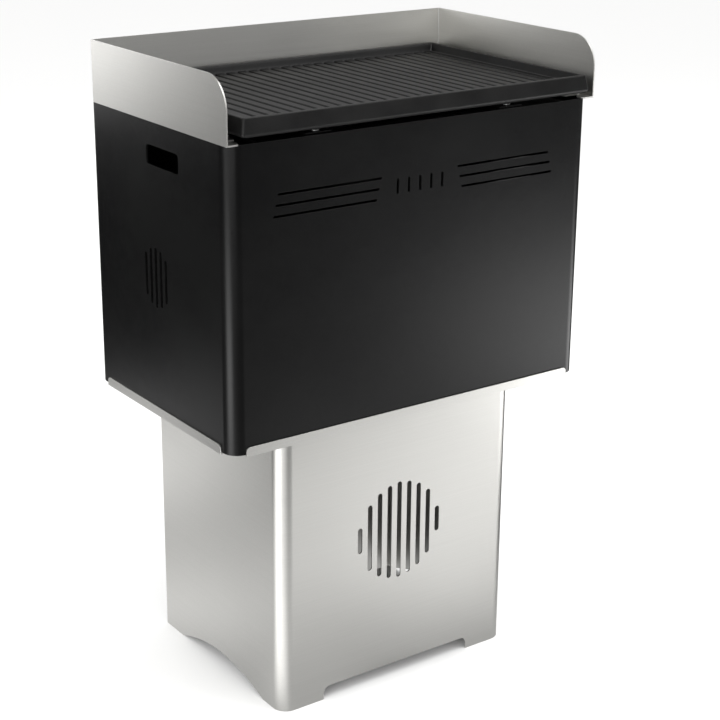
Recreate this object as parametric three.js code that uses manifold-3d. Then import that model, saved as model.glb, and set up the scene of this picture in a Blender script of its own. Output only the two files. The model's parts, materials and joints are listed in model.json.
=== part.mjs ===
// Garden fire box: a folded steel box for burning wood, standing on a sheet steel column,
// with a cast iron griddle and a stainless splash guard on top.
// Units are millimetres. +Z is up, the front looks along -Y and the width runs along X.
// The origin is on the ground, under the middle of the whole object's outline.
import * as THREE from 'three';
import { mergeVertices } from 'three/addons/utils/BufferGeometryUtils.js';
import Module from 'manifold-3d';

const wasm = await Module();
wasm.setup();

// ---------------------------------------------------------------- driving dimensions
const gap = 0.3; // air left between pieces that rest on each other

const box = { width: 450, depth: 279, height: 308.9, radius: 16, sheet: 2 };
const column = { width: 307, depth: 248.6, height: 321, radius: 16, sheet: 1.5, setBack: 10.2 };
const tray = { sheet: 1.5, lip: 9.5, play: 0.3, relief: 6.4 };
const guard = { width: 454.6, depth: 268.4, height: 64.4, sheet: 1.5, overhang: 3.9 };
const griddle = { width: 430, depth: 273, height: 19.2, overhang: 11.5, lift: 7.2 };
const grate = { width: 382, depth: 178, thickness: 10, height: 86, setForward: 17 };

// The griddle overhangs the front and the tray's lip ends the back, so that the middle of
// the box lies a little behind the origin. Every y below is measured from the box's middle.
const boxCentreY = (griddle.overhang - tray.play - tray.sheet) / 2;

// Heights of the stacked pieces.
const trayZ = column.height + gap;
const boxZ = trayZ + tray.sheet + gap;
const boxTopZ = boxZ + box.height;
const griddleZ = boxTopZ + griddle.lift;

// Hardware; the sizes across are radii.
const restScrew = { shank: 2.5, head: 4.75, headHeight: 2.75, socket: 1.5, socketDepth: 1.6, length: 11 };
const trayScrew = { shank: 2, head: 4.2, headHeight: 1.7, socket: 1.2, socketDepth: 1, length: 9 };
const restNut = { across: 4.6, height: 4, hole: restScrew.shank + gap };
const trayNut = { across: 4.05, height: 3.2, hole: trayScrew.shank + gap };
const rivet = { shank: 2.4, head: 4, headHeight: 1.4, bulb: 3.2, bulbLength: 4 };
const facets = 12; // flat faces around a small round part

// ---------------------------------------------------------------- materials
function finish(color, roughness, metalness) {
  return new THREE.MeshStandardMaterial({ color, roughness, metalness });
}
const stainless = () => finish(0xc9c8c2, 0.42, 0.9);
const blackPaint = () => finish(0x232323, 0.62, 0.2);
const castIron = () => finish(0x3a3a3a, 0.72, 0.35);
const zinc = () => finish(0xb9bab8, 0.35, 0.95);

// ---------------------------------------------------------------- solid helpers
function toSolid(geometry) {
  const bare = geometry.clone();
  bare.deleteAttribute('normal');
  bare.deleteAttribute('uv');
  const merged = mergeVertices(bare, 1e-4);
  const mesh = new wasm.Mesh({
    numProp: 3,
    vertProperties: new Float32Array(merged.attributes.position.array),
    triVerts: new Uint32Array(merged.index.array),
  });
  return new wasm.Manifold(mesh);
}

function toGeometry(solid) {
  const mesh = solid.getMesh();
  const geometry = new THREE.BufferGeometry();
  geometry.setAttribute('position', new THREE.BufferAttribute(new Float32Array(mesh.vertProperties), 3));
  geometry.setIndex(new THREE.BufferAttribute(new Uint32Array(mesh.triVerts), 1));
  geometry.computeVertexNormals();
  return geometry;
}

const join = (first, ...others) => others.reduce((whole, piece) => whole.add(piece), first);
const cut = (first, ...tools) => tools.reduce((whole, tool) => whole.subtract(tool), first);
const overlap = (first, second) => first.intersect(second);

// A block given by its lowest and highest corner.
function block(low, high) {
  const size = high.map((value, i) => value - low[i]);
  const middle = high.map((value, i) => (value + low[i]) / 2);
  return toSolid(new THREE.BoxGeometry(...size).translate(...middle));
}

function extrude(shape, depth, curveSegments) {
  return new THREE.ExtrudeGeometry(shape, { depth, bevelEnabled: false, curveSegments });
}

// An outline in plan, pushed up from one height to another.
function pushUp(shape, lowZ, highZ, curveSegments = 6) {
  return toSolid(extrude(shape, highZ - lowZ, curveSegments).translate(0, 0, lowZ));
}

// An outline drawn in X and Z, pushed along Y.
function pushAlongY(shape, lowY, highY, curveSegments = 2) {
  const geometry = extrude(shape, highY - lowY, curveSegments);
  return toSolid(geometry.rotateX(Math.PI / 2).translate(0, highY, 0));
}

// An outline drawn in Y and Z, pushed along X.
function pushAlongX(shape, lowX, highX, curveSegments = 2) {
  const geometry = extrude(shape, highX - lowX, curveSegments);
  return toSolid(geometry.rotateX(Math.PI / 2).rotateZ(Math.PI / 2).translate(lowX, 0, 0));
}

// A round hole, or rather the rod that cuts it: upright at a place in plan.
function uprightRod(radius, x, y, lowZ, highZ) {
  const rod = new THREE.CylinderGeometry(radius, radius, highZ - lowZ, facets);
  return toSolid(rod.rotateX(Math.PI / 2).translate(x, y, (lowZ + highZ) / 2));
}

// The same, lying along Y at a place on the front or back.
function levelRod(radius, x, z, lowY, highY) {
  const rod = new THREE.CylinderGeometry(radius, radius, highY - lowY, facets);
  return toSolid(rod.translate(x, (lowY + highY) / 2, z));
}

// ---------------------------------------------------------------- outlines
function polygon(points) {
  const shape = new THREE.Shape();
  points.forEach(([u, v], i) => (i ? shape.lineTo(u, v) : shape.moveTo(u, v)));
  return shape;
}

// The same outline seen in a mirror at u = 0.
const mirrored = (points, side) => points.map(([u, v]) => [side * u, v]);

function rectangle(lowU, lowV, highU, highV, radius) {
  const shape = new THREE.Shape();
  shape.moveTo(lowU + radius, lowV);
  shape.lineTo(highU - radius, lowV);
  shape.absarc(highU - radius, lowV + radius, radius, -Math.PI / 2, 0);
  shape.lineTo(highU, highV - radius);
  shape.absarc(highU - radius, highV - radius, radius, 0, Math.PI / 2);
  shape.lineTo(lowU + radius, highV);
  shape.absarc(lowU + radius, highV - radius, radius, Math.PI / 2, Math.PI);
  shape.lineTo(lowU, lowV + radius);
  shape.absarc(lowU + radius, lowV + radius, radius, Math.PI, 1.5 * Math.PI);
  return shape;
}

// A strip that stands on its lower edge and has its two upper corners rounded.
function roundTopped(lowU, highU, lowV, highV, radius) {
  const shape = new THREE.Shape();
  shape.moveTo(lowU, lowV);
  shape.lineTo(highU, lowV);
  shape.lineTo(highU, highV - radius);
  shape.absarc(highU - radius, highV - radius, radius, 0, Math.PI / 2);
  shape.lineTo(lowU + radius, highV);
  shape.absarc(lowU + radius, highV - radius, radius, Math.PI / 2, Math.PI);
  return shape;
}

// A folded sheet in plan: the front wall and both sides, with bent front corners of one
// outer radius, open behind. The front face lies at y = 0 and the sides run back to y = depth.
function foldedWall(width, depth, radius, sheet) {
  const x = width / 2;
  const inner = radius - sheet;
  const shape = new THREE.Shape();
  shape.moveTo(-x, depth);
  shape.lineTo(-x, radius);
  shape.absarc(-x + radius, radius, radius, Math.PI, 1.5 * Math.PI);
  shape.lineTo(x - radius, 0);
  shape.absarc(x - radius, radius, radius, -Math.PI / 2, 0);
  shape.lineTo(x, depth);
  shape.lineTo(x - sheet, depth);
  shape.lineTo(x - sheet, radius);
  shape.absarc(x - radius, radius, inner, 0, -Math.PI / 2, true);
  shape.lineTo(-x + radius, sheet);
  shape.absarc(-x + radius, radius, inner, 1.5 * Math.PI, Math.PI, true);
  shape.lineTo(-x + sheet, depth);
  return shape;
}

// Upright slots with round ends that fill a circle, as a vent.
function ventSlots(centreU, centreV, diameter, slotWidth, pitch) {
  const half = slotWidth / 2;
  const count = Math.floor((diameter - slotWidth) / pitch / 2);
  const slots = [];
  for (let i = -count; i <= count; i += 1) {
    const u = centreU + i * pitch;
    const reach = Math.sqrt((diameter / 2) ** 2 - (Math.abs(i) * pitch + half) ** 2);
    slots.push(rectangle(u - half, centreV - reach, u + half, centreV + reach, half - 0.01));
  }
  return slots;
}

// ---------------------------------------------------------------- the model
const model = new THREE.Group();
const assembly = new THREE.Group();
assembly.position.y = boxCentreY;
model.add(assembly);

function addPart(name, solid, material, [x, y, z], turn = 0) {
  const mesh = new THREE.Mesh(toGeometry(solid), material);
  mesh.name = name;
  mesh.position.set(x, y, z);
  mesh.rotation.z = turn;
  assembly.add(mesh);
}

// ---------------------------------------------------------------- fasteners
// A button head screw: its head rests on z = 0 and its shank points down.
function buttonScrew({ shank, head, headHeight, socket, socketDepth, length }) {
  const profile = [
    new THREE.Vector2(0, -length),
    new THREE.Vector2(shank, -length),
    new THREE.Vector2(shank, 0),
    new THREE.Vector2(head, 0),
  ];
  const steps = 3;
  for (let i = 1; i < steps; i += 1) {
    const angle = (i / steps) * (Math.PI / 2);
    profile.push(new THREE.Vector2(head * Math.cos(angle), headHeight * Math.sin(angle)));
  }
  profile.push(new THREE.Vector2(0, headHeight));
  const body = new THREE.LatheGeometry(profile, facets).rotateX(Math.PI / 2);
  const hexagon = new THREE.CylinderGeometry(socket, socket, socketDepth * 2, 6);
  hexagon.rotateX(Math.PI / 2).translate(0, 0, headHeight);
  return cut(toSolid(body), toSolid(hexagon));
}

// A hexagon nut whose top face lies at z = 0.
function hexNut({ across, height, hole }) {
  const body = new THREE.CylinderGeometry(across, across, height, 6);
  body.rotateX(Math.PI / 2).translate(0, 0, -height / 2);
  return cut(toSolid(body), uprightRod(hole, 0, 0, -2 * height, height));
}

// A blind rivet along Y: its domed head looks along +Y and its bulb closes behind the grip.
function blindRivet(grip) {
  const { shank, head, headHeight, bulb, bulbLength } = rivet;
  const inside = grip + gap;
  const profile = [
    new THREE.Vector2(0, -inside - bulbLength),
    new THREE.Vector2(bulb, -inside - bulbLength * 0.6),
    new THREE.Vector2(bulb, -inside),
    new THREE.Vector2(shank, -inside),
    new THREE.Vector2(shank, gap),
    new THREE.Vector2(head, gap),
    new THREE.Vector2(head * 0.7, headHeight * 0.85),
    new THREE.Vector2(0, headHeight),
  ];
  return toSolid(new THREE.LatheGeometry(profile, facets));
}

// ---------------------------------------------------------------- stand
const foot = { notchHalf: 99, notchHeight: 15.1, notchRound: 8, archHalf: 86.5, archRise: 18 };
const standBack = { inset: 27.7, topReturn: 24, sideReturn: 16 };
const columnFrontY = column.setBack - column.depth / 2;
const standBackY = column.setBack + column.depth / 2 - standBack.inset;

// Places in plan where the tray is screwed down, first on the column and then on its back.
const sideScrewX = column.width / 2 - 15;
const traySpots = [
  [-sideScrewX, columnFrontY + 40],
  [sideScrewX, columnFrontY + 40],
  [-sideScrewX, columnFrontY + 163],
  [sideScrewX, columnFrontY + 163],
  [-70, standBackY - 13],
  [70, standBackY - 13],
];
const trayHoles = (spots, offsetY, lowZ, highZ) =>
  spots.map(([x, y]) => uprightRod(trayScrew.shank + gap, x, y - offsetY, lowZ, highZ));

// The notch between the front feet.
const footNotch = () => roundTopped(-foot.notchHalf, foot.notchHalf, -5, foot.notchHeight, foot.notchRound);

// The arch between a front foot and a rear one: part of one circle.
function footArch(centreU) {
  const { archHalf, archRise } = foot;
  const radius = (archHalf ** 2 + archRise ** 2) / (2 * archRise);
  const halfAngle = Math.asin(archHalf / radius);
  const shape = new THREE.Shape();
  shape.moveTo(centreU - archHalf, -5);
  shape.lineTo(centreU + archHalf, -5);
  shape.absarc(centreU, archRise - radius, radius, Math.PI / 2 - halfAngle, Math.PI / 2 + halfAngle);
  return shape;
}

// The column: front and sides from one folded sheet, with flanges turned in under the tray.
// Local y = 0 is its front face.
function buildColumn() {
  const { width, depth, height, radius, sheet } = column;
  const flangeReach = 26;
  const x = width / 2 - 0.5;
  const inX = x - flangeReach;
  const lowZ = height - sheet;
  const wall = pushUp(foldedWall(width, depth, radius, sheet), 0, height, 6);
  const frontFlange = block([-inX, 0.5, lowZ], [inX, flangeReach, height]);
  const [sideFrontY, sideBackY] = [28, 208];
  const sideOutline = [
    [x, sideFrontY],
    [x, sideBackY],
    [inX, sideBackY],
    [inX, sideFrontY],
  ];
  const sideFlange = (side) => pushUp(polygon(mirrored(sideOutline, side)), lowZ, height);
  const vent = ventSlots(0, 177, 114, 6, 13).map((slot) => pushAlongY(slot, -5, 10));
  return cut(
    join(wall, frontFlange, sideFlange(-1), sideFlange(1)),
    pushAlongY(footNotch(), -5, 5),
    pushAlongX(footArch(depth / 2), -width, width, 9),
    ...vent,
    ...trayHoles(traySpots.slice(0, 4), columnFrontY, lowZ - 5, height + 5),
  );
}

// The column's back, set in between its sides and folded back along both of them.
// Local y = 0 is its front face.
function buildStandBack() {
  const { width, height, sheet } = column;
  const { topReturn, sideReturn } = standBack;
  const x = width / 2 - sheet - gap;
  const topHalf = width / 2 - 40;
  const panel = block([-x, 0, 0], [x, sheet, height]);
  const leftReturn = block([-x, 0, 20], [-x + sheet, sideReturn, height - 12]);
  const rightReturn = block([x - sheet, 0, 20], [x, sideReturn, height - 12]);
  const shelf = block([-topHalf, -topReturn, height - sheet], [topHalf, sheet, height]);
  return cut(
    join(panel, leftReturn, rightReturn, shelf),
    pushAlongY(footNotch(), -5, 5),
    ...trayHoles(traySpots.slice(4), standBackY, height - 10, height + 5),
  );
}

// The tray under the fire box: a plate with four lips turned up around the box. Its corners
// are cut back under the box from the ends of the lips. Local origin is under its middle.
function buildTray() {
  const { sheet, lip, play, relief } = tray;
  const outX = box.width / 2 + play + sheet;
  const outY = box.depth / 2 + play + sheet;
  const lipHalfX = 209;
  const [lipLowY, lipHighY] = [-121, 117];
  const round = 4.5;
  const plate = polygon([
    [-lipHalfX, -outY],
    [lipHalfX, -outY],
    [lipHalfX, relief - outY],
    [outX - relief, lipLowY],
    [outX, lipLowY],
    [outX, lipHighY],
    [outX - relief, lipHighY],
    [lipHalfX, outY - relief],
    [lipHalfX, outY],
    [-lipHalfX, outY],
    [-lipHalfX, outY - relief],
    [relief - outX, lipHighY],
    [-outX, lipHighY],
    [-outX, lipLowY],
    [relief - outX, lipLowY],
    [-lipHalfX, relief - outY],
  ]);
  const longLip = roundTopped(-lipHalfX, lipHalfX, 0, lip, round);
  const sideLip = roundTopped(lipLowY, lipHighY, 0, lip, round);
  return cut(
    join(
      pushUp(plate, 0, sheet),
      pushAlongY(longLip, -outY, -outY + sheet),
      pushAlongY(longLip, outY - sheet, outY),
      pushAlongX(sideLip, -outX, -outX + sheet),
      pushAlongX(sideLip, outX - sheet, outX),
    ),
    ...trayHoles(traySpots, 0, -5, 5),
  );
}

addPart('stand_column', buildColumn(), stainless(), [0, columnFrontY, 0]);
addPart('stand_back_panel', buildStandBack(), stainless(), [0, standBackY, 0]);
addPart('stand_tray', buildTray(), stainless(), [0, 0, trayZ]);
traySpots.forEach(([x, y], i) => {
  const headZ = trayZ + tray.sheet + gap;
  const nutZ = column.height - column.sheet - gap;
  addPart(`tray_screw_${i + 1}`, buttonScrew(trayScrew), zinc(), [x, y, headZ]);
  addPart(`tray_nut_${i + 1}`, hexNut(trayNut), zinc(), [x, y, nutZ]);
});

// ---------------------------------------------------------------- fire box
const shellReturn = 40; // how far the shell wraps around each back corner
const backPanelY = box.depth / 2 - box.sheet - gap; // outer face of the back panel
const rivetX = 190;
const rivetZs = [45, 153, 261];
const rests = [
  { name: 'front_left', x: -119.5, y: -134.6, turn: 0 },
  { name: 'front_right', x: 119.5, y: -134.6, turn: 0 },
  { name: 'rear_left', x: -119.5, y: 109.5, turn: Math.PI },
  { name: 'rear_right', x: 119.5, y: 109.5, turn: Math.PI },
];
const rest = { width: 30, depth: 24.5, sheet: 1.5, screwInset: 7.5, earInset: 10.5 };
const restScrewY = ({ y, turn }) => y + Math.cos(turn) * rest.screwInset;
const restHoles = (chosen, offsetY) =>
  chosen.map((spot) => {
    const [lowZ, highZ] = [box.height - 10, box.height + 5];
    return uprightRod(restScrew.shank + gap, spot.x, restScrewY(spot) - offsetY, lowZ, highZ);
  });
const rivetHoles = (offsetY) =>
  [-rivetX, rivetX].flatMap((x) => {
    const backY = box.depth / 2 - offsetY;
    return rivetZs.map((z) => levelRod(rivet.shank + gap, x, z, backY - 10, backY + 5));
  });

// Three long slots on each side of the middle. Each row starts further out than the one
// above it, and the ends lean to match.
function frontSlots() {
  const slot = { length: 122, height: 2.6, pitch: 10.75, innerX: 47.7, topZ: 256.6, stepOut: 2.7 };
  const lean = (slot.stepOut * slot.height) / slot.pitch / 2;
  const half = slot.height / 2;
  return [0, 1, 2].flatMap((row) => {
    const near = slot.innerX + row * slot.stepOut;
    const far = near + slot.length;
    const z = slot.topZ - row * slot.pitch;
    const outline = [
      [near + lean, z - half],
      [far + lean, z - half],
      [far - lean, z + half],
      [near - lean, z + half],
    ];
    return [polygon(outline), polygon(mirrored(outline, -1))];
  });
}

// Five short upright slots between the two groups of long ones.
function middleSlots() {
  const slot = { halfHeight: 8, halfWidth: 1.6, pitch: 14, z: 245.9 };
  return [-2, -1, 0, 1, 2].map((i) => {
    const x = i * slot.pitch;
    const [lowX, highX] = [x - slot.halfWidth, x + slot.halfWidth];
    return rectangle(lowX, slot.z - slot.halfHeight, highX, slot.z + slot.halfHeight, 1.5);
  });
}

// The slot in each side that a hand fits through.
function handleSlot() {
  const slot = { y: -16, z: 274.6, length: 64, height: 20.4, radius: 4 };
  const [halfLength, halfHeight] = [slot.length / 2, slot.height / 2];
  return rectangle(
    slot.y - halfLength,
    slot.z - halfHeight,
    slot.y + halfLength,
    slot.z + halfHeight,
    slot.radius,
  );
}

// The front's top flange: narrow in the middle, wide where the griddle rests stand.
function topFrontFlange() {
  const [endX, narrowX, wide, narrow] = [190.5, 105.5, 30, 13];
  const frontY = -box.depth / 2;
  return polygon([
    [-endX, frontY + 0.5],
    [endX, frontY + 0.5],
    [endX - 2, frontY + wide],
    [narrowX, frontY + wide],
    [narrowX, frontY + narrow],
    [-narrowX, frontY + narrow],
    [-narrowX, frontY + wide],
    [-endX + 2, frontY + wide],
  ]);
}

// A straight flange along one side of the box, given by how far it reaches in.
function sideFlange(side, reach) {
  const x = box.width / 2 - 0.5;
  const inX = box.width / 2 - reach;
  const halfLength = 105;
  const outline = [
    [x, -halfLength],
    [x, halfLength],
    [inX, halfLength],
    [inX, -halfLength],
  ];
  return polygon(mirrored(outline, side));
}

// The shell: front, sides and back returns from one sheet, with flanges turned in at the
// top and bottom. Local origin is under the middle of the box.
function buildShell() {
  const { width, depth, height, radius, sheet } = box;
  const [x, y] = [width / 2, depth / 2];
  const bottomReach = 15;
  const wallShape = rectangle(-x, -y, x, y, radius);
  wallShape.holes.push(rectangle(-x + sheet, -y + sheet, x - sheet, y - sheet, radius - sheet));
  const topFlanges = [topFrontFlange(), sideFlange(-1, 30), sideFlange(1, 30)];
  const bottomFlanges = [sideFlange(-1, bottomReach), sideFlange(1, bottomReach)];
  const backOpening = block([-x + shellReturn, y - 5, -5], [x - shellReturn, y + 5, height + 5]);
  const sideCuts = [handleSlot(), ...ventSlots(3, 148.4, 64.5, 5, 10)];
  const frontCuts = [...frontSlots(), ...middleSlots()];
  return cut(
    join(
      pushUp(wallShape, 0, height),
      block([-190, -y + 0.5, 0], [190, -y + bottomReach, sheet]),
      ...topFlanges.map((shape) => pushUp(shape, height - sheet, height)),
      ...bottomFlanges.map((shape) => pushUp(shape, 0, sheet)),
    ),
    backOpening,
    ...sideCuts.map((shape) => pushAlongX(shape, -x - 5, x + 5)),
    ...frontCuts.map((shape) => pushAlongY(shape, -y - 5, -y + 8)),
    ...restHoles(rests.slice(0, 2), 0),
    ...rivetHoles(0),
  );
}

// The panel riveted inside the returns, folded in at the top as a shelf for the rear
// griddle rests and at the bottom under the floor. Local y = 0 is its outer face.
function buildBoxBack() {
  const { height, sheet } = box;
  const panelHalf = 205;
  const shelfHalf = 172;
  const shelfReach = 56;
  const panel = block([-panelHalf, -sheet, 0], [panelHalf, 0, height]);
  const shelf = block([-shelfHalf, -shelfReach, height - sheet], [shelfHalf, -0.5, height]);
  const bottomFlange = block([-190, -15, 0], [190, -0.5, sheet]);
  return cut(
    join(panel, shelf, bottomFlange),
    ...restHoles(rests.slice(2), backPanelY),
    ...rivetHoles(backPanelY),
  );
}

// The floor that the ash falls on: a shallow pan on the bottom flanges.
// Local origin is under the middle of the pan.
const floorDepth = backPanelY - box.sheet - gap + box.depth / 2 - box.sheet - gap;
function buildFloor() {
  const { width, radius, sheet } = box;
  const x = width / 2 - sheet - gap;
  const y = floorDepth / 2;
  const round = radius - sheet - gap;
  const rimHeight = 14;
  const outer = pushUp(rectangle(-x, -y, x, y, round), 0, rimHeight);
  const inner = rectangle(-x + sheet, -y + sheet, x - sheet, y - sheet, round - sheet);
  return cut(outer, pushUp(inner, sheet, rimHeight + 5));
}

// An angle ledge on one side that carries the grate. Local origin is the middle of its
// upper outer edge, and it reaches in along +X.
function buildLedge() {
  const { sheet } = box;
  const [reach, drop, halfLength] = [46, 30, 100];
  const outline = polygon([
    [0, -drop],
    [sheet, -drop],
    [sheet, -sheet],
    [reach, -sheet],
    [reach, 0],
    [0, 0],
  ]);
  return pushAlongY(outline, -halfLength, halfLength);
}

// A griddle rest: a foot that is screwed to the box and two upright ears.
// Local origin is the middle of the foot's outer edge, and it reaches inward along +Y.
function buildRest() {
  const { width, depth, sheet, screwInset, earInset } = rest;
  const half = width / 2;
  const earTop = griddle.lift - 2 * gap;
  const leftEar = block([-half, earInset, 0], [-half + sheet, depth, earTop]);
  const rightEar = block([half - sheet, earInset, 0], [half, depth, earTop]);
  const hole = uprightRod(restScrew.shank + gap, 0, screwInset, -5, 5);
  return cut(join(block([-half, 0, 0], [half, depth, sheet]), leftEar, rightEar), hole);
}

const floorY = -box.depth / 2 + box.sheet + gap + floorDepth / 2;
const ledgeX = box.width / 2 - box.sheet - gap;
const ledgeZ = boxZ + grate.height - gap;
addPart('firebox_shell', buildShell(), blackPaint(), [0, 0, boxZ]);
addPart('firebox_back_panel', buildBoxBack(), blackPaint(), [0, backPanelY, boxZ]);
addPart('firebox_floor', buildFloor(), blackPaint(), [0, floorY, boxZ + box.sheet + gap]);
addPart('grate_ledge_left', buildLedge(), blackPaint(), [-ledgeX, 0, ledgeZ]);
addPart('grate_ledge_right', buildLedge(), blackPaint(), [ledgeX, 0, ledgeZ], Math.PI);
rivetZs.forEach((z, i) => {
  const solid = blindRivet(2 * box.sheet + gap);
  const place = [box.depth / 2, boxZ + z];
  addPart(`back_rivet_left_${i + 1}`, solid, blackPaint(), [-rivetX, ...place]);
  addPart(`back_rivet_right_${i + 1}`, solid, blackPaint(), [rivetX, ...place]);
});
for (const spot of rests) {
  const footZ = boxTopZ + gap;
  const headZ = footZ + rest.sheet + gap;
  const nutZ = boxTopZ - box.sheet - gap;
  const screwY = restScrewY(spot);
  addPart(`griddle_rest_${spot.name}`, buildRest(), blackPaint(), [spot.x, spot.y, footZ], spot.turn);
  addPart(`rest_screw_${spot.name}`, buttonScrew(restScrew), zinc(), [spot.x, screwY, headZ]);
  addPart(`rest_nut_${spot.name}`, hexNut(restNut), zinc(), [spot.x, screwY, nutZ]);
}

// ---------------------------------------------------------------- fire grate
// A cast frame with bars that run front to back. Local origin is under its middle.
function buildGrate() {
  const { width, depth, thickness } = grate;
  const rail = 14;
  const opening = 14;
  const pitch = 27;
  const sideCount = 6; // openings on each side of the middle one
  const halfDepth = depth / 2;
  const plate = pushUp(rectangle(-width / 2, -halfDepth, width / 2, halfDepth, 8), 0, thickness, 4);
  const openings = [];
  for (let i = -sideCount; i <= sideCount; i += 1) {
    const lowX = i * pitch - opening / 2;
    openings.push(block([lowX, rail - halfDepth, -5], [lowX + opening, halfDepth - rail, thickness + 5]));
  }
  return cut(plate, ...openings);
}

addPart('fire_grate', buildGrate(), castIron(), [0, -grate.setForward, boxZ + grate.height]);

// ---------------------------------------------------------------- splash guard
// One side wall from the side, with its upper front corner rounded.
function guardSide() {
  const round = 33;
  const shape = new THREE.Shape();
  shape.moveTo(0, 0);
  shape.lineTo(guard.depth, 0);
  shape.lineTo(guard.depth, guard.height);
  shape.lineTo(round, guard.height);
  shape.absarc(round, guard.height - round, round, Math.PI / 2, Math.PI);
  return shape;
}

// The inward foot flange along one side. Its front tab stands clear of the rest of it.
function guardFlange(side) {
  const x = guard.width / 2 - 0.5;
  const outline = [
    [x, 0],
    [x - 12, 0.5],
    [x - 15, 9],
    [x - 10, 15],
    [x - 1, 16.5],
    [x - 1, 20],
    [x - 20, 21],
    [x - 26, 33],
    [x - 26, guard.depth - 24],
    [x - 10, guard.depth - 14],
    [x, guard.depth - 14],
  ];
  return polygon(mirrored(outline, side));
}

// The guard: a wall around the back and sides, with flanges that lie on the box.
// Local origin is the middle of its open front, on the flanges' underside.
function buildGuard() {
  const { width, depth, height, sheet } = guard;
  const bend = 3;
  const backReach = 12;
  const backHalf = width / 2 - 24;
  const wallShape = foldedWall(width, depth, bend, sheet);
  const wall = pushUp(wallShape, 0, height, 4).rotate([0, 0, 180]).translate([0, depth, 0]);
  const backFlange = block([-backHalf, depth - backReach, 0], [backHalf, depth - 0.5, sheet]);
  const sideFlanges = [-1, 1].map((side) => pushUp(guardFlange(side), 0, sheet));
  return join(overlap(wall, pushAlongX(guardSide(), -width, width, 6)), backFlange, ...sideFlanges);
}

const guardFrontY = -box.depth / 2 - guard.overhang;
addPart('splash_guard', buildGuard(), stainless(), [0, guardFrontY, boxTopZ + gap]);

// ---------------------------------------------------------------- griddle
const rim = { width: 4.5, draft: 3.5, slope: 3.5 }; // draft outside the wall, slope inside it
const ribs = { topZ: 11, pitch: 14.06, grooveCount: 28, grooveDepth: 2.6, grooveHalf: 2.6 };

// The casting's outline across: drafted above its widest line and rounded in below it.
function griddleOutside(half) {
  const bottomInset = 7.5;
  const widestZ = 6.2;
  const shape = new THREE.Shape();
  shape.moveTo(-half + bottomInset, 0);
  shape.lineTo(half - bottomInset, 0);
  shape.quadraticCurveTo(half - 1, 0.4, half, widestZ);
  shape.lineTo(half - rim.draft, griddle.height);
  shape.lineTo(-half + rim.draft, griddle.height);
  shape.lineTo(-half, widestZ);
  shape.quadraticCurveTo(-half + 1, 0.4, -half + bottomInset, 0);
  return shape;
}

// The sunk cooking area across: its walls slope in from the rim to the rib tops.
function griddleInside(half) {
  const topU = half - rim.draft - rim.width;
  const lowU = topU - rim.slope;
  const above = griddle.height + 2;
  return polygon([
    [-lowU, ribs.topZ],
    [lowU, ribs.topZ],
    [topU, griddle.height],
    [topU, above],
    [-topU, above],
    [-topU, griddle.height],
  ]);
}

// The griddle casting. Local origin is under its middle.
function buildGriddle() {
  const { width, depth } = griddle;
  const [x, y] = [width / 2, depth / 2];
  const { topZ, pitch, grooveCount, grooveDepth, grooveHalf } = ribs;
  const outside = overlap(
    pushAlongY(griddleOutside(x), -depth, depth, 5),
    pushAlongX(griddleOutside(y), -width, width, 5),
  );
  const inside = overlap(
    pushAlongY(griddleInside(x), -depth, depth),
    pushAlongX(griddleInside(y), -width, width),
  );
  const grooves = [];
  for (let i = 0; i < grooveCount; i += 1) {
    const u = (i - (grooveCount - 1) / 2) * pitch;
    const section = polygon([
      [u - grooveHalf / 2, topZ - grooveDepth],
      [u + grooveHalf / 2, topZ - grooveDepth],
      [u + grooveHalf, topZ + 0.5],
      [u - grooveHalf, topZ + 0.5],
    ]);
    grooves.push(pushAlongY(section, -y + 13, y - 13));
  }
  return cut(outside, inside, ...grooves);
}

const griddleY = -box.depth / 2 - griddle.overhang + griddle.depth / 2;
addPart('griddle', buildGriddle(), castIron(), [0, griddleY, griddleZ]);

export default model;
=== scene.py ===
# The looks of the garden fire box: a slotted black steel box with a ribbed cast iron griddle
# and a stainless splash guard, standing on a folded stainless column with a tray.
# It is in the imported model's frame: +Z up, the front looks along -Y. Sizes are in metres, apart
# from those of the griddle and the fasteners, which are drawn in millimetres and then scaled.
import json
import math

import bmesh
import bpy
from mathutils import Euler, Matrix, Vector

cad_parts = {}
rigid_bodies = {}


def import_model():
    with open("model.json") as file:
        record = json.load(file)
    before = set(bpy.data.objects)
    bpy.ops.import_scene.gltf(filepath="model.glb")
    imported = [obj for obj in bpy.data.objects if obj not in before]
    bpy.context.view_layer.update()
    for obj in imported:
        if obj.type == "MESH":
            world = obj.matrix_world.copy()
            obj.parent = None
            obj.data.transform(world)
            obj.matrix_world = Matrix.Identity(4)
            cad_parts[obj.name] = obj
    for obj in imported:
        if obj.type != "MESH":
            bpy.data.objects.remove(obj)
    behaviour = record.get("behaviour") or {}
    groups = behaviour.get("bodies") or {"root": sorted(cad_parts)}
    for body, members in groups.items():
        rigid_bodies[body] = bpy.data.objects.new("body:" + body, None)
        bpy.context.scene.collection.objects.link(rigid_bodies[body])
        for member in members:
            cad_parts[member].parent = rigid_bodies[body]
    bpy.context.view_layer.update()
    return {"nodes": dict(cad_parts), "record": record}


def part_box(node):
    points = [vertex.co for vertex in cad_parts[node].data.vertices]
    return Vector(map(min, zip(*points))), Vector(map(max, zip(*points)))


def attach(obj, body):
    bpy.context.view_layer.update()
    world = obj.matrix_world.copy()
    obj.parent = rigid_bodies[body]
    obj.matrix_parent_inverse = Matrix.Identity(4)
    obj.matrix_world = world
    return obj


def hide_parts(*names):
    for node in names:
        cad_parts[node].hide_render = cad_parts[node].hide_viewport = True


for leftover in list(bpy.data.objects):
    bpy.data.objects.remove(leftover)
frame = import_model()
nodes = frame["nodes"]
MM = 0.001


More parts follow.
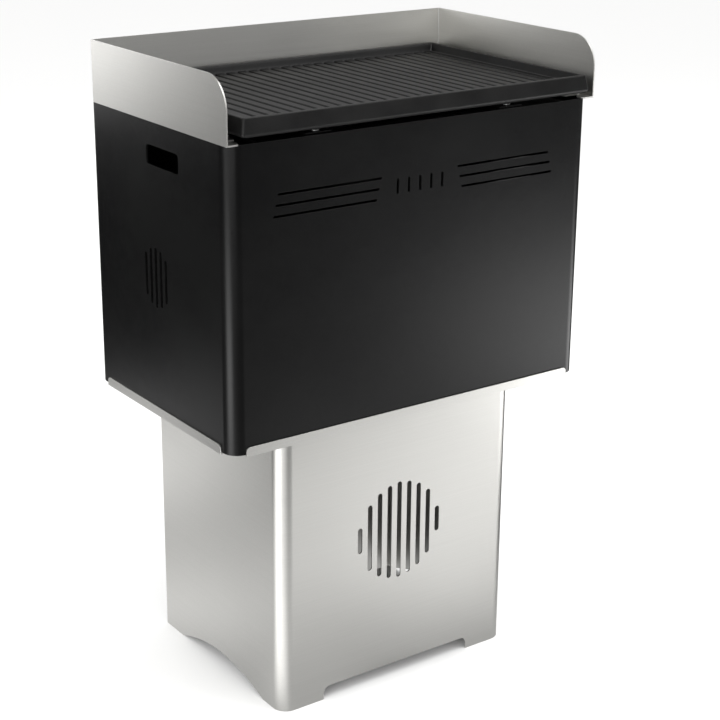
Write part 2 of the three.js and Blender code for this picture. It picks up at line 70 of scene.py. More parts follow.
# ---------------------------------------------------------------- camera
CAMERA_PLACE = (-0.9993, -1.4272, 0.96)
CAMERA_TURN = -35.633  # degrees about the vertical, from looking along +Y
CAMERA_DOWN = 18.535  # degrees below the level
CAMERA_ROLL = 0.501  # degrees
FOCAL_LENGTH = 83.42  # for a sensor 36 mm wide
LENS_SHIFT_UP = -0.0417


def make_camera():
    lens = bpy.data.cameras.new("camera")
    lens.sensor_width = 36
    lens.lens = FOCAL_LENGTH
    lens.shift_y = LENS_SHIFT_UP
    camera = bpy.data.objects.new("camera", lens)
    aim = Euler((math.radians(90 - CAMERA_DOWN), 0, math.radians(CAMERA_TURN))).to_matrix()
    roll = Matrix.Rotation(math.radians(CAMERA_ROLL), 3, "Z")
    camera.matrix_world = Matrix.Translation(CAMERA_PLACE) @ (aim @ roll).to_4x4()
    bpy.context.collection.objects.link(camera)
    bpy.context.scene.camera = camera


# ---------------------------------------------------------------- studio
# Soft light boxes: name, place, target, size across and up, and brightness. The brightness of
# the boxes and of the pools below was fitted to the tone that each face should have, and rounded.
LIGHT_BOXES = [
    ("front_left_box", (-1.7, -1.85, 0.85), (-0.14, -0.1, 0.3), (2.2, 1.6), 2.2),
    ("left_box", (-2.4, -0.45, 0.8), (-0.2, 0, 0.4), (1.2, 1.4), 1.9),
    ("guard_side_box", (-0.66, 1.21, 0.76), (-0.227, 0.08, 0.68), (0.45, 0.7), 2.3),
    ("front_right_high", (1.9, -2.8, 2.2), (0, 0, 0.6), (1.3, 1.0), 1.4),
    ("right_box", (2.8, 0.2, 1.0), (0.2, 0, 0.4), (1.4, 1.4), 1.0),
    ("back_box", (0.6, 3.0, 1.2), (0, 0, 0.4), (1.4, 1.4), 1.2),
    ("top_front_box", (0.8, -0.8, 2.6), (0, 0, 0.6), (1.6, 1.6), 3.0),
]
# Pools of light on the floor as the steel reflects it: name, middle, radius and brightness.
LIGHT_POOLS = [
    ("under_foot", (0, 0), 0.55, 0.55),
    ("front_right", (1.6, -1.0), 0.9, 0.75),
    ("near_front_right", (1.24, -0.72), 0.8, 5.6),
    ("foot_front", (0.29, -0.49), 0.42, 1.25),
    ("foot_front_middle", (-0.15, -0.5), 0.35, 0.75),
    ("foot_front_left", (-0.84, -0.4), 0.7, 1.15),
    ("near_front_left", (-0.36, -0.16), 0.25, 1.4),
    ("left_of_foot", (-0.63, -0.03), 0.34, 1.8),
    ("foot_left", (-0.35, 0.3), 0.4, 0.6),
    ("foot_back_left", (-0.41, 0.71), 0.37, 1.35),
    ("far_left", (-1.4, -0.4), 0.68, 7.2),
    ("foot_front_far", (0.5, -0.78), 0.45, 0.7),
    ("back_right", (1.2, 1.4), 1.3, 0.2),
]
POOL_CORE = 0.3  # the part of a pool's radius that is evenly bright
FLOOR_GLOW = 0.04  # brightness of the reflected floor away from the pools
SKY_GLOW = 0.55  # brightness of the reflected room above the floor
# Under the hollow column the reflected floor is dark up to one distance from the column's
# middle, and lit from another on.
COLUMN_SHADE = {"middle": (0, 0.015, 0), "dark": 0.11, "lit": 0.16}
FLOOR_HALF = 40
REFLECTED_FLOOR_HALF = 8
DOME = {"radius": 7, "rings": 8, "steps": 24}


def add_light_box(name, place, target, size, brightness):
    """A soft rectangular light, seen only in reflections and by what it lights."""
    data = bpy.data.lights.new(name, "AREA")
    data.shape = "RECTANGLE"
    data.size, data.size_y = size
    data.energy = brightness * size[0] * size[1] * math.pi
    light = bpy.data.objects.new(name, data)
    light.location = place
    aim = Vector(target) - Vector(place)
    light.rotation_euler = aim.to_track_quat("-Z", "Y").to_euler()
    light.visible_camera = False
    bpy.context.collection.objects.link(light)


def make_world():
    world = bpy.data.worlds.new("studio")
    world.use_nodes = True
    background = world.node_tree.nodes["Background"]
    background.inputs["Color"].default_value = (1, 1, 1, 1)
    background.inputs["Strength"].default_value = 1.0
    world.cycles_visibility.glossy = False
    bpy.context.scene.world = world


def make_floor():
    """The pale floor that the camera sees. Reflections see the lit floor below instead."""
    floor = add_stage_sheet("floor", FLOOR_HALF, 0)
    material, _, shader = new_material("floor")
    shader.inputs["Base Color"].default_value = (0.97, 0.97, 0.965, 1)
    shader.inputs["Roughness"].default_value = 0.9
    floor.data.materials.append(material)
    floor.visible_glossy = False


def add_stage_sheet(name, half, height):
    """A level square about the origin, part of the studio and not of the object."""
    mesh = bpy.data.meshes.new(name)
    corners = [(-half, -half), (half, -half), (half, half), (-half, half)]
    mesh.from_pydata([(x, y, height) for x, y in corners], [], [(0, 1, 2, 3)])
    sheet = bpy.data.objects.new(name, mesh)
    bpy.context.collection.objects.link(sheet)
    return sheet


def only_reflected(stage_object):
    """Leaves a stage object visible in reflections alone."""
    stage_object.visible_camera = False
    stage_object.visible_diffuse = False
    stage_object.visible_shadow = False
    stage_object.visible_transmission = False


def emitter(name):
    """A material that only glows: its tree and the socket for its brightness."""
    material = bpy.data.materials.new(name)
    material.use_nodes = True
    tree = material.node_tree
    tree.nodes.remove(tree.nodes["Principled BSDF"])
    glow = tree.nodes.new("ShaderNodeEmission")
    tree.links.new(glow.outputs[0], tree.nodes["Material Output"].inputs["Surface"])
    material.cycles.emission_sampling = "NONE"
    return material, tree, glow.inputs["Strength"]


def make_reflected_floor():
    """The studio floor that the steel reflects: dim, with soft pools of light on it."""
    sheet = add_stage_sheet("reflected_floor", REFLECTED_FLOOR_HALF, -1 * MM)
    material, tree, brightness = emitter("reflected_floor")
    place = add(tree, "NewGeometry").outputs["Position"]
    total = FLOOR_GLOW
    for name, (x, y), radius, strength in LIGHT_POOLS:
        away = distance(tree, place, (x, y, 0))
        ramp = {"Value": away, "From Min": POOL_CORE * radius, "From Max": radius}
        ramp.update({"To Min": strength, "To Max": 0})
        pool = add(tree, "MapRange", ramp, interpolation_type="SMOOTHERSTEP")
        pool.name = "pool_" + name
        total = plus(tree, total, pool.outputs["Result"])
    away = distance(tree, place, COLUMN_SHADE["middle"])
    ramp = {"Value": away, "From Min": COLUMN_SHADE["dark"], "From Max": COLUMN_SHADE["lit"]}
    unshaded = add(tree, "MapRange", ramp, interpolation_type="SMOOTHSTEP")
    tree.links.new(times(tree, total, unshaded.outputs["Result"]), brightness)
    sheet.data.materials.append(material)
    only_reflected(sheet)


def make_reflected_sky():
    """The room above the floor as the steel reflects it: a large evenly glowing dome."""
    radius, rings, steps = DOME["radius"], DOME["rings"], DOME["steps"]
    points = [(0, 0, radius)]
    for ring in range(1, rings + 1):
        tilt = ring / rings * math.pi / 2
        for step in range(steps):
            turn = step / steps * 2 * math.pi
            out = radius * math.sin(tilt)
            points.append((out * math.cos(turn), out * math.sin(turn), radius * math.cos(tilt)))
    faces = [(0, 1 + step, 1 + (step + 1) % steps) for step in range(steps)]
    for ring in range(rings - 1):
        for step in range(steps):
            a, b = 1 + ring * steps + step, 1 + ring * steps + (step + 1) % steps
            faces.append((a, a + steps, b + steps, b))
    mesh = bpy.data.meshes.new("reflected_sky")
    mesh.from_pydata(points, [], faces)
    dome = bpy.data.objects.new("reflected_sky", mesh)
    bpy.context.collection.objects.link(dome)
    material, tree, brightness = emitter("reflected_sky")
    brightness.default_value = SKY_GLOW
    mesh.materials.append(material)
    only_reflected(dome)


# ---------------------------------------------------------------- material helpers
def new_material(name):
    material = bpy.data.materials.new(name)
    material.use_nodes = True
    tree = material.node_tree
    return material, tree, tree.nodes["Principled BSDF"]


def add(tree, kind, inputs=None, **settings):
    """Adds a shader node. An input is a plain value or another node's output."""
    made = tree.nodes.new("ShaderNode" + kind)
    for key, value in settings.items():
        setattr(made, key, value)
    for key, value in (inputs or {}).items():
        if isinstance(value, bpy.types.NodeSocket):
            tree.links.new(value, made.inputs[key])
        else:
            made.inputs[key].default_value = value
    return made


def stretched_place(tree, scale):
    """Places on the object, stretched by a scale on each axis."""
    place = add(tree, "TexCoord").outputs["Object"]
    return add(tree, "Mapping", {"Vector": place, "Scale": scale}).outputs["Vector"]


def noise(tree, scale, detail=2, rough=0.5):
    """Noise between 0 and 1, with so many cells per metre on each axis."""
    place = stretched_place(tree, scale)
    inputs = {"Vector": place, "Scale": 1, "Detail": detail, "Roughness": rough}
    return add(tree, "TexNoise", inputs).outputs["Fac"]


def remap(tree, value, low, high, to_low, to_high):
    inputs = {"Value": value, "From Min": low, "From Max": high}
    inputs.update({"To Min": to_low, "To Max": to_high})
    return add(tree, "MapRange", inputs).outputs["Result"]


def times(tree, first, second):
    return add(tree, "Math", {0: first, 1: second}, operation="MULTIPLY").outputs[0]


def plus(tree, first, second):
    return add(tree, "Math", {0: first, 1: second}, operation="ADD").outputs[0]


def distance(tree, first, second):
    made = add(tree, "VectorMath", {0: first, 1: second}, operation="DISTANCE")
    return made.outputs["Value"]


def mix_colours(tree, amount, first, second):
    made = add(tree, "Mix", {0: amount}, data_type="RGBA")
    for key, value in ((6, first), (7, second)):
        if isinstance(value, bpy.types.NodeSocket):
            tree.links.new(value, made.inputs[key])
        else:
            made.inputs[key].default_value = (*value, 1)
    return made.outputs[2]


def mix_values(tree, amount, first, second):
    return add(tree, "Mix", {0: amount, 2: first, 3: second}, data_type="FLOAT").outputs[0]


def lying_face(tree):
    """1 on faces that look up or down, 0 on upright ones."""
    least = 0.7  # the vertical part of a normal that leans 45 degrees
    normal = add(tree, "NewGeometry").outputs["Normal"]
    upward = add(tree, "SeparateXYZ", {0: normal}).outputs["Z"]
    size = add(tree, "Math", {0: upward}, operation="ABSOLUTE").outputs[0]
    return add(tree, "Math", {0: size, 1: least}, operation="GREATER_THAN").outputs[0]


def bump(tree, height, depth, strength):
    inputs = {"Height": height, "Distance": depth, "Strength": strength}
    return add(tree, "Bump", inputs).outputs["Normal"]


def edge_highlight_and_wear(tree, radius):
    """1 on a sharp edge, 0 on a flat face: how far a rounded normal leans from the true one. It
    masks the painted edge highlight on steel and iron, and the coat's edge wear.
    """
    slight_lean, full_lean = 0.985, 0.8  # cosines of the lean where the painted edge highlight and the wear start and are full
    rounded = add(tree, "Bevel", {"Radius": radius}, samples=4).outputs["Normal"]
    true = add(tree, "NewGeometry").outputs["Normal"]
    inputs = {0: rounded, 1: true}
    agreement = add(tree, "VectorMath", inputs, operation="DOT_PRODUCT").outputs["Value"]
    return remap(tree, agreement, slight_lean, full_lean, 0, 1)


# ---------------------------------------------------------------- materials
def brushed_steel():
    """Satin stainless sheet, brushed level around its bends."""
    dark, light, highlight_and_wear = (0.56, 0.555, 0.532), (0.63, 0.624, 0.6), (0.86, 0.855, 0.83)
    edge_width, brushing_depth, roughness = 0.7 * MM, 0.03 * MM, 0.26
    material, tree, shader = new_material("brushed_stainless")
    lying = lying_face(tree)
    upright_streaks = noise(tree, (5, 5, 1100), detail=4, rough=0.7)
    lying_streaks = noise(tree, (5, 1100, 5), detail=4, rough=0.7)
    streaks = mix_values(tree, lying, upright_streaks, lying_streaks)
    hairs = mix_values(tree, lying, noise(tree, (16, 16, 4200)), noise(tree, (16, 4200, 16)))
    clouds = noise(tree, (7, 7, 9), detail=3)
    speckle = noise(tree, (1300, 1300, 1300), detail=1)
    grain = plus(tree, times(tree, streaks, 0.65), times(tree, hairs, 0.35))
    tone = plus(tree, times(tree, grain, 0.55), times(tree, speckle, 0.45))
    tone = remap(tree, tone, 0.35, 0.65, 0, 1)
    steel = mix_colours(tree, tone, dark, light)
    # painted highlight: the sharp edges are mixed toward a near-white steel colour
    edge = edge_highlight_and_wear(tree, edge_width)
    steel = mix_colours(tree, times(tree, edge, 0.6), steel, highlight_and_wear)
    rough = plus(tree, times(tree, tone, 0.1), times(tree, clouds, 0.08))
    tree.links.new(steel, shader.inputs["Base Color"])
    tree.links.new(plus(tree, rough, roughness), shader.inputs["Roughness"])
    tree.links.new(bump(tree, grain, brushing_depth, 0.3), shader.inputs["Normal"])
    around = add(tree, "Tangent", direction_type="RADIAL", axis="Z").outputs["Tangent"]
    across = add(tree, "Tangent", direction_type="RADIAL", axis="X").outputs["Tangent"]
    brushing = add(tree, "Mix", {0: lying, 4: around, 5: across}, data_type="VECTOR")
    tree.links.new(brushing.outputs[1], shader.inputs["Tangent"])
    shader.inputs["Metallic"].default_value = 1
    shader.inputs["Anisotropic"].default_value = 0.7
    shader.inputs["Anisotropic Rotation"].default_value = 0.25  # a quarter turn from the tangent
    return material


def black_coat():
    """Matt black heat-resistant coat: a fine orange peel, worn a little along the edges."""
    dark, light, highlight_and_wear = (0.0025, 0.0025, 0.0026), (0.004, 0.004, 0.004), (0.05, 0.0495, 0.049)
    edge_width, peel_depth, roughness = 1.0 * MM, 0.06 * MM, 0.2
    material, tree, shader = new_material("black_powder_coat")
    peel = noise(tree, (850, 850, 850), detail=3, rough=0.6)
    fine = noise(tree, (3200, 3200, 3200), detail=1)
    clouds = noise(tree, (6, 6, 8), detail=4)
    patches = noise(tree, (160, 160, 160), detail=4, rough=0.7)
    tone = remap(tree, clouds, 0.3, 0.7, 0, 1)
    paint = mix_colours(tree, tone, dark, light)
    edge = times(tree, edge_highlight_and_wear(tree, edge_width), remap(tree, patches, 0.35, 0.7, 0.25, 1))
    paint = mix_colours(tree, times(tree, edge, 0.4), paint, highlight_and_wear)
    rough = plus(tree, times(tree, fine, 0.07), times(tree, clouds, 0.08))
    texture = plus(tree, times(tree, peel, 0.8), times(tree, fine, 0.2))
    tree.links.new(paint, shader.inputs["Base Color"])
    tree.links.new(plus(tree, rough, roughness), shader.inputs["Roughness"])
    tree.links.new(bump(tree, texture, peel_depth, 0.5), shader.inputs["Normal"])
    shader.inputs["Specular IOR Level"].default_value = 0.21
    return material


def cast_iron():
    """Oil-seasoned cast iron with the grain of the sand mould."""
    dark, light, highlight_and_wear = (0.001, 0.001, 0.001), (0.009, 0.0089, 0.0088), (0.13, 0.129, 0.126)
    edge_width, sand_depth, roughness = 1.8 * MM, 0.12 * MM, 0.3
    material, tree, shader = new_material("seasoned_cast_iron")
    sand = noise(tree, (1000, 1000, 1000), detail=4, rough=0.65)
    pits = noise(tree, (380, 380, 380), detail=2)
    clouds = noise(tree, (22, 22, 22), detail=4)
    tone = plus(tree, times(tree, sand, 0.5), times(tree, clouds, 0.5))
    tone = remap(tree, tone, 0.35, 0.65, 0, 1)
    iron = mix_colours(tree, tone, dark, light)
    # painted highlight: the edges are lightened to a pale grey, broken up by the sand grain
    edge = times(tree, edge_highlight_and_wear(tree, edge_width), remap(tree, sand, 0.35, 0.6, 0.5, 1))
    iron = mix_colours(tree, times(tree, edge, 0.9), iron, highlight_and_wear)
    rough = plus(tree, times(tree, clouds, 0.15), times(tree, sand, 0.1))
    texture = plus(tree, times(tree, sand, 0.7), times(tree, pits, 0.3))
    tree.links.new(iron, shader.inputs["Base Color"])
    tree.links.new(plus(tree, rough, roughness), shader.inputs["Roughness"])
    tree.links.new(bump(tree, texture, sand_depth, 0.6), shader.inputs["Normal"])
    shader.inputs["Specular IOR Level"].default_value = 0.18
    return material


def bright_steel():
    """Bright fasteners with fine turning marks."""
    dark, light = (0.2, 0.2, 0.197), (0.32, 0.32, 0.315)
    material, tree, shader = new_material("bright_steel")
    marks = noise(tree, (2400, 2400, 700), detail=3)
    steel = mix_colours(tree, marks, dark, light)
    tree.links.new(steel, shader.inputs["Base Color"])
    tree.links.new(remap(tree, marks, 0.3, 0.7, 0.26, 0.42), shader.inputs["Roughness"])
    tree.links.new(bump(tree, marks, 0.03 * MM, 0.4), shader.inputs["Normal"])
    shader.inputs["Metallic"].default_value = 1
    return material


# ---------------------------------------------------------------- mesh helpers
def finish_piece(name, form, origin, body, slot, stands_for):
    """Turns a form in millimetres about an origin into a smooth piece that replaces a CAD node."""
    for face in form.faces:
        face.smooth = True
    form.transform(Matrix.Translation(origin) @ Matrix.Scale(MM, 4))
    mesh = bpy.data.meshes.new(name)
    form.to_mesh(mesh)
    form.free()
    mesh.materials.append(finishes[slot])
    piece = bpy.data.objects.new(name, mesh)
    bpy.context.collection.objects.link(piece)
    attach(piece, body)
    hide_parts(stands_for)
    weigh_normals(piece)


def box_middle(low, high):
    return [(first + second) / 2 for first, second in zip(low, high)]


def weigh_normals(piece):
    weighted = piece.modifiers.new("normals", "WEIGHTED_NORMAL")
    weighted.mode = "FACE_AREA"


def shade_smooth_group():
    """Geometry nodes that set every face smooth, for the normals that the next modifier weighs."""
    group = bpy.data.node_groups.new("shade_smooth", "GeometryNodeTree")
    group.interface.new_socket("Geometry", in_out="INPUT", socket_type="NodeSocketGeometry")
    group.interface.new_socket("Geometry", in_out="OUTPUT", socket_type="NodeSocketGeometry")
    start = group.nodes.new("NodeGroupInput")
    smooth = group.nodes.new("GeometryNodeSetShadeSmooth")
    end = group.nodes.new("NodeGroupOutput")
    group.links.new(start.outputs[0], smooth.inputs["Geometry"])
    group.links.new(smooth.outputs[0], end.inputs[0])
    return group


def soften_edges(node, width):
    """Rounds the edges of a CAD node with modifiers, and leaves its mesh alone."""
    weld = node.modifiers.new("weld", "WELD")
    weld.merge_threshold = 0.01 * MM
    dissolve = node.modifiers.new("dissolve", "DECIMATE")
    dissolve.decimate_type = "DISSOLVE"
    dissolve.angle_limit = math.radians(0.4)
    bevel = node.modifiers.new("bevel", "BEVEL")
    bevel.width = width
    bevel.segments = 2
    bevel.limit_method = "ANGLE"
    bevel.angle_limit = math.radians(35)
    bevel.use_clamp_overlap = True
    smooth = node.modifiers.new("smooth", "NODES")
    smooth.node_group = smooth_group
    weigh_normals(node)


# ---------------------------------------------------------------- pieces kept from CAD
# How far the edges of each finish are rounded, in millimetres.
EDGE_WIDTHS = {"stainless": 0.3, "black_coat": 0.5, "cast_iron": 1.2, "zinc_steel": 0.15}


def dress_cad_nodes():
    for row in frame["record"]["subparts"]:
        name, slot = row["node"], row["material_slot"]
        node = nodes[name]
        for place in node.material_slots:
            place.material = finishes[slot]
        soften_edges(node, EDGE_WIDTHS[slot] * MM)


# ---------------------------------------------------------------- griddle
# All in millimetres, with heights from the casting's underside.
RIB_TOP = 11
GROOVES = {"count": 28, "pitch": 14.06, "depth": 2.3, "bottom": 0.8, "top": 2.7}
GROOVE_ENDS = {"start": 5, "run_out": 5}  # from the rear rim's inner edge toward the front
RIM = {"inset": 3.2, "width": 4.5, "round": 0.9, "wall_slope": 3.5}
# The rear rim's inner side: a roll down to a part of its radius, then a straight steep fall.
REAR_ROLL = {"radius": 3.6, "end": 0.9, "fall": 2.1}
CORNER_ROUND = 2.6
FILLETS = {"corner": 2, "wall": 0.8, "rear": 2.4}  # how widely two surfaces blend
# The underside's curve up to the widest line, as insets from the outline and heights.
UNDERSIDE_FLAT = (10, 0)
UNDERSIDE_CURVE = ((7, 0), (0.9, 0.3), (0.9, 5.2))
SKIN = 3  # from the grooves' bottoms down to the hidden floor of the pan
# Where the ribbed face has its grid lines: away from the rim's inner edge and from a groove.
WALL_STEPS = (0, 0.7, 1.4, 2.1, 2.8, 3.5, 4.2, 5, 6, 7.5)
GROOVE_STEPS = (-3.3, -2.7, -2.2, -1.7, -1.2, -0.5, 0.5, 1.2, 1.7, 2.2, 2.7, 3.3)
REAR_STEP = 0.55
REAR_STEPS = 26
PLAIN_MARGIN = 30  # from the face's front and rear to the last rows of its plain middle


def smooth_step(value, low, high):
    t = min(1, max(0, (value - low) / (high - low)))
    return t * t * (3 - 2 * t)


def smooth_max(first, second, blend):
    """The higher of two heights, with a fillet where they cross."""
    t = max(0, blend - abs(first - second)) / blend
    return max(first, second) + t * t * blend / 4


def rounded_ring(half_x, half_y, radius, z, steps=6):
    """Points around a level rectangle with round corners."""
    ring = []
    for quarter, (side_x, side_y) in enumerate([(1, 1), (-1, 1), (-1, -1), (1, -1)]):
        for step in range(steps + 1):
            angle = (quarter + step / steps) * math.pi / 2
            x = side_x * (half_x - radius) + radius * math.cos(angle)
            y = side_y * (half_y - radius) + radius * math.sin(angle)
            ring.append((x, y, z))
    return ring


def curve_point(t, start, pull, end):
    """A point on a curve from start to end that is drawn toward pull."""
    weights = ((1 - t) ** 2, 2 * t * (1 - t), t * t)
    return [sum(w * point[axis] for w, point in zip(weights, (start, pull, end))) for axis in (0, 1)]


def loft(form, rings, capped=True):
    """Skins a stack of rings with equal counts, and may fill its first and last ring."""
    loops = [[form.verts.new(point) for point in ring] for ring in rings]
    count = len(loops[0])
    for low, high in zip(loops, loops[1:]):
        for i in range(count):
            after = (i + 1) % count
            form.faces.new((low[i], low[after], high[after], high[i]))
    if capped:
        form.faces.new(reversed(loops[0]))
        form.faces.new(loops[-1])


def griddle_shell(form, half_x, half_y, height):
    """The casting's underside, drafted walls and rim, as a pan under the ribs."""
    curve_steps, round_steps = 6, 5
    profile = [UNDERSIDE_FLAT]
    for step in range(curve_steps + 1):
        profile.append(curve_point(step / curve_steps, *UNDERSIDE_CURVE))
    for step in range(round_steps + 1):  # the rim's outer edge
        angle = step / round_steps * math.pi / 2
        inset = RIM["inset"] + RIM["round"] * (1 - math.cos(angle))
        profile.append((inset, height - RIM["round"] * (1 - math.sin(angle))))
    inner_edge = RIM["inset"] + RIM["width"]
    for step in range(round_steps + 1):  # the rim's inner edge
        angle = step / round_steps * math.pi / 2
        inset = inner_edge - RIM["round"] * (1 - math.sin(angle))
        profile.append((inset, height - RIM["round"] * (1 - math.cos(angle))))
    wall_foot = inner_edge + RIM["wall_slope"]
    tuck = 1  # how far the rim's inner wall goes on under the ribbed face
    profile.append((wall_foot + tuck, RIB_TOP - tuck))
    profile.append((wall_foot + 3 * tuck, RIB_TOP - GROOVES["depth"] - SKIN))
    rings = [rounded_ring(half_x - inset, half_y - inset, CORNER_ROUND, z) for inset, z in profile]
    loft(form, rings)


def groove_height(x, from_rear):
    """Height of the ribbed face: flat rib tops and rounded grooves that rise to the rear rim."""
    first = -(GROOVES["count"] - 1) / 2
    nearest = round(x / GROOVES["pitch"] - first)
    nearest = min(GROOVES["count"] - 1, max(0, nearest))
    away = abs(x - (first + nearest) * GROOVES["pitch"])
    start = GROOVE_ENDS["start"]
    depth = GROOVES["depth"] * smooth_step(from_rear, start, start + GROOVE_ENDS["run_out"])
    return RIB_TOP - depth * (1 - smooth_step(away, GROOVES["bottom"], GROOVES["top"]))


def rear_wall(away, height):
    """The rear rim rolls over from its top, then falls steeply to the ribs and grooves."""
    roll = REAR_ROLL["radius"]
    end = REAR_ROLL["end"] * roll
    rolled = height - roll + math.sqrt(roll * roll - min(end, max(0, away)) ** 2)
    return rolled - max(0, away - end) * REAR_ROLL["fall"]


def side_wall(away, height):
    """The side and front rims fall evenly from their top to the ribs."""
    return height - away * (height - RIB_TOP) / RIM["wall_slope"]


def griddle_face(form, half_x, half_y, height):
    """The ribbed cooking face as a fine grid. The grooves run out into the rear cove."""
    lap, sunk = 0.3, 0.25  # how far the grid reaches into the rim, and stays below its top
    edge_x = half_x - RIM["inset"] - RIM["width"] + lap
    edge_y = half_y - RIM["inset"] - RIM["width"] + lap
    columns = {side * (edge_x - step) for side in (-1, 1) for step in WALL_STEPS}
    for i in range(GROOVES["count"]):
        middle = (i - (GROOVES["count"] - 1) / 2) * GROOVES["pitch"]
        columns.update(middle + step for step in GROOVE_STEPS)
    rows = {-edge_y + step for step in WALL_STEPS}
    rows.update(edge_y - REAR_STEP * step for step in range(REAR_STEPS))
    rows.update((-edge_y + PLAIN_MARGIN, 0, edge_y - PLAIN_MARGIN))
    grid = []
    for y in sorted(rows):
        line = []
        for x in sorted(columns):
            side = side_wall(edge_x - abs(x), height)
            front = side_wall(edge_y + y, height)
            rear = rear_wall(edge_y - y, height)
            wall = smooth_max(side, front, FILLETS["corner"])
            z = smooth_max(groove_height(x, edge_y - y), wall, FILLETS["wall"])
            z = smooth_max(z, rear, FILLETS["rear"])
            line.append(form.verts.new((x, y, min(z, height - sunk))))
        grid.append(line)
    for low, high in zip(grid, grid[1:]):
        for i in range(len(low) - 1):
            form.faces.new((low[i], low[i + 1], high[i + 1], high[i]))


def make_griddle():
    low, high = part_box("griddle")
    half_x = (high[0] - low[0]) / 2 / MM
    half_y = (high[1] - low[1]) / 2 / MM
    height = (high[2] - low[2]) / MM
    form = bmesh.new()
    griddle_shell(form, half_x, half_y, height)
    griddle_face(form, half_x, half_y, height)
    x, y, _ = box_middle(low, high)
    finish_piece("griddle_casting", form, (x, y, low[2]), "griddle_plate", "cast_iron", "griddle")


# ---------------------------------------------------------------- fasteners
# In millimetres, and those across are radii. The outer sizes come from the frame.
REST_SCREW = {"head_height": 2.75, "socket": 1.6}
TRAY_SCREW = {"head_height": 1.7, "socket": 1.3}
REST_NUT_HOLE = 2.8
TRAY_NUT_HOLE = 2.3
RIVET = {"shank": 2.4, "head_height": 1.4, "bulb": 3.2, "bulb_length": 4, "mandrel": 0.8}
DOME_STEPS = 6


def flat_sided(radius, step, steps):
    """Distance from the axis to a hexagon's side, where radius is the one of its corners."""
    angle = (step / steps * 360 + 30) % 60 - 30
    return radius * math.cos(math.radians(30)) / math.cos(math.radians(angle))


def turned_ring(radius, z, hexagon=False, steps=36):
    """Points around a circle, or around a hexagon with its corners at the radius."""
    ring = []
    for step in range(steps):
        angle = step / steps * 2 * math.pi
        reach = flat_sided(radius, step, steps) if hexagon else radius
        ring.append((reach * math.cos(angle), reach * math.sin(angle), z))
    return ring


def button_screw(form, head, head_height, socket, length):
    """A button head screw with a hexagon socket. Its head rests on z = 0."""
    shank, lip = 0.5 * head, 1.25 * socket
    tip, rim, bevel = 0.5, 0.25, 0.1  # the shank's cone, the head's upright rim and small edges
    rings = [turned_ring(0.8 * shank, -length), turned_ring(shank, -length + tip)]
    rings += [turned_ring(shank, 0), turned_ring(head - bevel, 0), turned_ring(head, rim)]
    for step in range(1, DOME_STEPS + 1):
        angle = step / DOME_STEPS * math.pi / 2
        reach = lip + (head - lip) * math.cos(angle)
        rings.append(turned_ring(reach, rim + (head_height - rim) * math.sin(angle)))
    rings.append(turned_ring(socket, head_height - bevel, hexagon=True))
    rings.append(turned_ring(socket, 0.4 * head_height, hexagon=True))
    loft(form, rings)


def hexagon_nut(form, across, height, hole):
    """A nut with chamfered corners round its bore, standing on z = 0."""
    chamfer, slope, lead_in = 0.9 * across, 0.5, 0.3
    rings = [turned_ring(chamfer, 0), turned_ring(across, slope, hexagon=True)]
    rings += [turned_ring(across, height - slope, hexagon=True), turned_ring(chamfer, height)]
    rings += [turned_ring(hole + lead_in, height), turned_ring(hole, height - lead_in)]
    rings += [turned_ring(hole, lead_in), turned_ring(hole + lead_in, 0), turned_ring(chamfer, 0)]
    loft(form, rings, capped=False)
    bmesh.ops.remove_doubles(form, verts=form.verts, dist=0.001)


def blind_rivet(form, head, grip):
    """A blind rivet along its own axis, with a domed head above z = 0."""
    shank, bulb, mandrel = RIVET["shank"], RIVET["bulb"], RIVET["mandrel"]
    bulb_end = -grip - RIVET["bulb_length"]
    rings = [turned_ring(mandrel, bulb_end), turned_ring(0.8 * bulb, bulb_end + 0.4)]
    rings += [turned_ring(bulb, bulb_end + 2), turned_ring(bulb, -grip), turned_ring(shank, -grip)]
    rings += [turned_ring(shank, 0), turned_ring(head, 0)]
    for step in range(1, DOME_STEPS):
        angle = step / DOME_STEPS * math.pi / 2
        rings.append(turned_ring(head * math.cos(angle), RIVET["head_height"] * math.sin(angle)))
    rings.append(turned_ring(mandrel + 0.1, 0.9 * RIVET["head_height"]))
    rings.append(turned_ring(mandrel, 0.7 * RIVET["head_height"]))
    loft(form, rings)


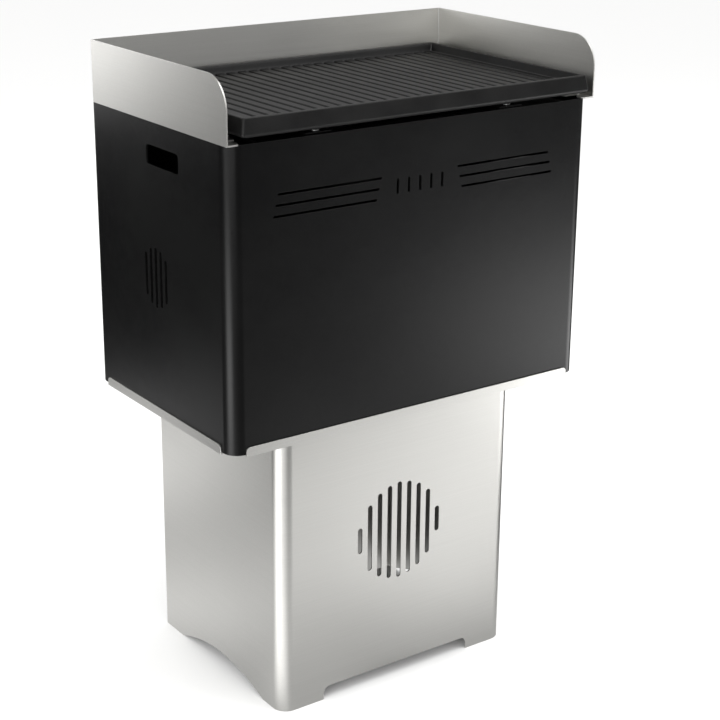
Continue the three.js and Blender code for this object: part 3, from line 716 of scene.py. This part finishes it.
def make_screw(node_name, body, head_height, socket):
    low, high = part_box(node_name)
    x, y, _ = box_middle(low, high)
    length = (high[2] - low[2]) / MM - head_height
    form = bmesh.new()
    button_screw(form, (high[0] - low[0]) / 2 / MM, head_height, socket, length)
    place = (x, y, high[2] - head_height * MM)
    finish_piece(node_name + "_turned", form, place, body, "zinc_steel", node_name)


def make_nut(node_name, body, hole):
    low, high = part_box(node_name)
    x, y, _ = box_middle(low, high)
    form = bmesh.new()
    hexagon_nut(form, (high[0] - low[0]) / 2 / MM, (high[2] - low[2]) / MM, hole)
    finish_piece(node_name + "_chamfered", form, (x, y, low[2]), body, "zinc_steel", node_name)


def make_rivet(node_name):
    low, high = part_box(node_name)
    x, _, z = box_middle(low, high)
    grip = (high[1] - low[1]) / MM - RIVET["head_height"] - RIVET["bulb_length"]
    form = bmesh.new()
    blind_rivet(form, (high[0] - low[0]) / 2 / MM, grip)
    form.transform(Matrix.Rotation(-math.pi / 2, 4, "X"))
    place = (x, high[1] - RIVET["head_height"] * MM, z)
    finish_piece(node_name + "_domed", form, place, "fire_box", "black_coat", node_name)


def make_fasteners():
    for spot in ("front_left", "front_right", "rear_left", "rear_right"):
        make_screw("rest_screw_" + spot, "fire_box", **REST_SCREW)
        make_nut("rest_nut_" + spot, "fire_box", REST_NUT_HOLE)
    for number in range(1, 7):
        make_screw(f"tray_screw_{number}", "stand", **TRAY_SCREW)
        make_nut(f"tray_nut_{number}", "stand", TRAY_NUT_HOLE)
    for side in ("left", "right"):
        for number in range(1, 4):
            make_rivet(f"back_rivet_{side}_{number}")


# ---------------------------------------------------------------- build
finishes = {
    "stainless": brushed_steel(),
    "black_coat": black_coat(),
    "cast_iron": cast_iron(),
    "zinc_steel": bright_steel(),
}
smooth_group = shade_smooth_group()
make_camera()
make_world()
make_floor()
make_reflected_floor()
make_reflected_sky()
for light_box in LIGHT_BOXES:
    add_light_box(*light_box)
dress_cad_nodes()
make_griddle()
make_fasteners()

bpy.context.scene.view_settings.view_transform = "Standard"
